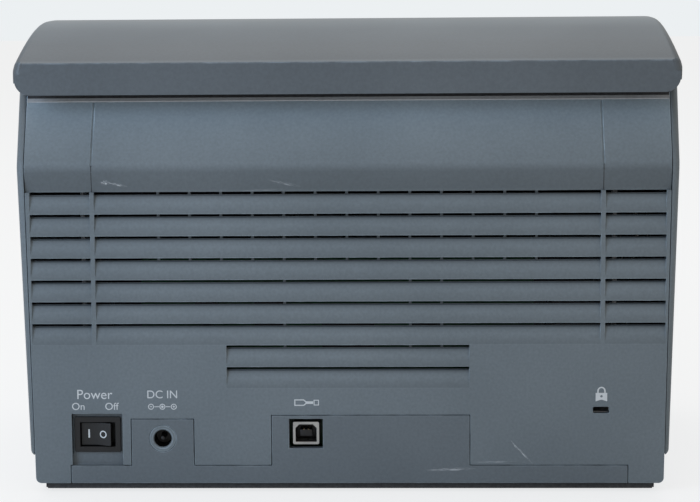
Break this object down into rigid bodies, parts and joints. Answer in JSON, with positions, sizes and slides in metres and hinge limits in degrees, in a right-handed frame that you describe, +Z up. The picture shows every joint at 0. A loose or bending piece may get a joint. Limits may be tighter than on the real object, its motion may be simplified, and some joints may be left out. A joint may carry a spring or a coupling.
{
  "type": "document scanner",
  "caption": "Upright sheet-fed document scanner with a louvred rear cover, a fold-back lid that forms the paper tray, a drop-down front unit and a pull-out output tray.",
  "frame": {"origin": "bottom centre of the closed machine, on the floor between the feet", "axes": "+Z up, +Y towards the louvred rear with the ports, -Y towards the operator, +X to the operator's right"},
  "size_m": [0.3, 0.2, 0.212],
  "materials": {
    "housing_plastic": "fine-grained slate grey ABS",
    "lid_plastic": "fine-grained slate grey ABS, a shade lighter",
    "base_plastic": "fine-grained charcoal ABS",
    "inner_plastic": "satin black ABS",
    "rubber_black": "matt black rubber",
    "idler_grey": "mid grey rubber",
    "sheet_steel": "zinc-plated sheet steel",
    "bright_steel": "ground or nickel-plated steel",
    "acetal_white": "natural white acetal",
    "sensor_glass": "clear float glass",
    "circuit_board": "green solder mask",
    "black_plastic": "black nylon",
    "button_grey": "satin light grey ABS",
    "button_blue": "satin blue ABS",
    "lamp_lens": "milky polycarbonate"
  },
  "bodies": {
    "chassis": {"base_chassis": "base_plastic", "rear_cover": "housing_plastic", "rubber_feet": "rubber_black", "side_cover_left": "housing_plastic", "side_cover_right": "housing_plastic", "cheek_left": "inner_plastic", "cheek_right": "inner_plastic", "side_frame_left": "sheet_steel", "side_frame_right": "sheet_steel", "cross_stays": "bright_steel", "frame_screws": "bright_steel", "shaft_bushes": "acetal_white", "rear_paper_guide": "inner_plastic", "rear_image_sensor": "inner_plastic", "rear_sensor_glass": "sensor_glass", "drive_belts": "rubber_black", "drive_motor": "bright_steel", "main_board": "circuit_board", "board_chips": "black_plastic", "usb_socket": "bright_steel", "dc_jack": "black_plastic", "lock_bracket": "sheet_steel", "power_switch": "black_plastic", "latch_strikes": "bright_steel"},
    "input_tray": {"lid_shell": "lid_plastic", "lid_lining": "inner_plastic", "lid_hinge_pins": "bright_steel"},
    "tray_extension": {"tray_extension": "inner_plastic"},
    "guide_left": {"paper_guide_left": "inner_plastic"},
    "guide_right": {"paper_guide_right": "inner_plastic"},
    "guide_pinion": {"guide_pinion": "acetal_white"},
    "front_unit": {"front_cover": "housing_plastic", "front_hinge_pins": "bright_steel", "front_paper_guide": "inner_plastic", "front_image_sensor": "inner_plastic", "front_sensor_glass": "sensor_glass", "control_panel": "inner_plastic", "status_lamps": "lamp_lens", "button_board": "circuit_board"},
    "release_lever": {"release_lever": "inner_plastic"},
    "motor_pulley": {"motor_pulley": "acetal_white"},
    "drive_roller": {"drive_shaft": "bright_steel", "drive_tyres": "rubber_black", "drive_pulley": "acetal_white"},
    "eject_roller": {"eject_shaft": "bright_steel", "eject_tyres": "rubber_black", "eject_pulley": "acetal_white"},
    "pick_roller": {"pick_shaft": "bright_steel", "pick_tyres": "rubber_black", "pick_pulley": "acetal_white"},
    "brake_roller": {"brake_roller": "idler_grey"},
    "pinch_upper": {"pinch_rollers_upper": "idler_grey"},
    "pinch_lower": {"pinch_rollers_lower": "idler_grey"},
    "output_tray": {"output_tray": "base_plastic"},
    "output_extension": {"output_extension": "base_plastic"},
    "paper_stop": {"paper_stop": "base_plastic"},
    "start_button": {"start_button": "button_blue"},
    "stop_button": {"stop_button": "button_grey"},
    "mode_button": {"mode_button": "button_grey"},
    "switch_rocker": {"switch_rocker": "black_plastic"}
  },
  "joints": [
    {"name": "lid_hinge", "type": "hinge", "parent": "chassis", "child": "input_tray", "pos_m": [0, 0.09, 0.1885], "axis": [-1, 0, 0], "range_deg": [0, 115]},
    {"name": "tray_extension_slide", "type": "slide", "parent": "input_tray", "child": "tray_extension", "axis": [0, -1, 0], "range_m": [0, 0.075]},
    {"name": "guide_left_slide", "type": "slide", "parent": "input_tray", "child": "guide_left", "axis": [1, 0, 0], "range_m": [0, 0.082]},
    {"name": "guide_right_slide", "type": "slide", "parent": "input_tray", "child": "guide_right", "axis": [-1, 0, 0], "range_m": [0, 0.082]},
    {"name": "guide_pinion_spin", "type": "hinge", "parent": "input_tray", "child": "guide_pinion", "pos_m": [0, 0.04, 0.1895], "axis": [0, 0, -1], "range_deg": [0, 588]},
    {"name": "front_unit_hinge", "type": "hinge", "parent": "chassis", "child": "front_unit", "pos_m": [0, -0.072, 0.034], "axis": [1, 0, 0], "range_deg": [0, 58], "deforming": ["latch_strikes"]},
    {"name": "release_lever_hinge", "type": "hinge", "parent": "front_unit", "child": "release_lever", "pos_m": [0, -0.06, 0.171], "axis": [1, 0, 0], "range_deg": [0, 12], "stiffness_Nm_per_rad": 0.03, "springref_deg": -11.46},
    {"name": "motor_spin", "type": "hinge", "parent": "chassis", "child": "motor_pulley", "pos_m": [0, 0.056, 0.062], "axis": [1, 0, 0], "continuous": true},
    {"name": "drive_roller_spin", "type": "hinge", "parent": "chassis", "child": "drive_roller", "pos_m": [0, 0.01731, 0.09728], "axis": [1, 0, 0], "continuous": true},
    {"name": "eject_roller_spin", "type": "hinge", "parent": "chassis", "child": "eject_roller", "pos_m": [0, -0.01481, 0.06161], "axis": [1, 0, 0], "continuous": true},
    {"name": "pick_roller_spin", "type": "hinge", "parent": "chassis", "child": "pick_roller", "pos_m": [0, 0.03426, 0.11162], "axis": [1, 0, 0], "continuous": true},
    {"name": "brake_roller_spin", "type": "hinge", "parent": "front_unit", "child": "brake_roller", "pos_m": [0, 0.01917, 0.12521], "axis": [1, 0, 0], "continuous": true},
    {"name": "pinch_upper_spin", "type": "hinge", "parent": "front_unit", "child": "pinch_upper", "pos_m": [0, 0.00742, 0.10618], "axis": [1, 0, 0], "continuous": true},
    {"name": "pinch_lower_spin", "type": "hinge", "parent": "front_unit", "child": "pinch_lower", "pos_m": [0, -0.0247, 0.07051], "axis": [1, 0, 0], "continuous": true},
    {"name": "output_tray_slide", "type": "slide", "parent": "chassis", "child": "output_tray", "axis": [0, -1, 0], "range_m": [0, 0.112]},
    {"name": "output_extension_slide", "type": "slide", "parent": "output_tray", "child": "output_extension", "axis": [0, -1, 0], "range_m": [0, 0.1]},
    {"name": "paper_stop_hinge", "type": "hinge", "parent": "output_extension", "child": "paper_stop", "pos_m": [0, -0.0895, 0.016], "axis": [1, 0, 0], "range_deg": [0, 90]},
    {"name": "start_button_push", "type": "slide", "parent": "front_unit", "child": "start_button", "axis": [0, 1, 0], "range_m": [0, 0.0008], "stiffness_N_per_m": 400, "springref_m": -0.001},
    {"name": "stop_button_push", "type": "slide", "parent": "front_unit", "child": "stop_button", "axis": [0, 1, 0], "range_m": [0, 0.0008], "stiffness_N_per_m": 400, "springref_m": -0.001},
    {"name": "mode_button_push", "type": "slide", "parent": "front_unit", "child": "mode_button", "axis": [0, 1, 0], "range_m": [0, 0.0008], "stiffness_N_per_m": 400, "springref_m": -0.001},
    {"name": "switch_rocker_tilt", "type": "hinge", "parent": "chassis", "child": "switch_rocker", "pos_m": [0.1145, 0.0945, 0.0264], "axis": [0, 0, 1], "range_deg": [0, 22]}
  ],
  "couplings": [
    {"joint": "guide_right_slide", "follows": "guide_left_slide", "ratio": 1},
    {"joint": "guide_pinion_spin", "follows": "guide_left_slide", "rad_per_m": 125},
    {"joint": "motor_spin", "follows": "drive_roller_spin", "ratio": 1.7143},
    {"joint": "eject_roller_spin", "follows": "drive_roller_spin", "ratio": 1},
    {"joint": "pick_roller_spin", "follows": "drive_roller_spin", "ratio": 0.72727},
    {"joint": "brake_roller_spin", "follows": "drive_roller_spin", "ratio": -0.88889},
    {"joint": "pinch_upper_spin", "follows": "drive_roller_spin", "ratio": -1.6},
    {"joint": "pinch_lower_spin", "follows": "drive_roller_spin", "ratio": -1.6}
  ]
}
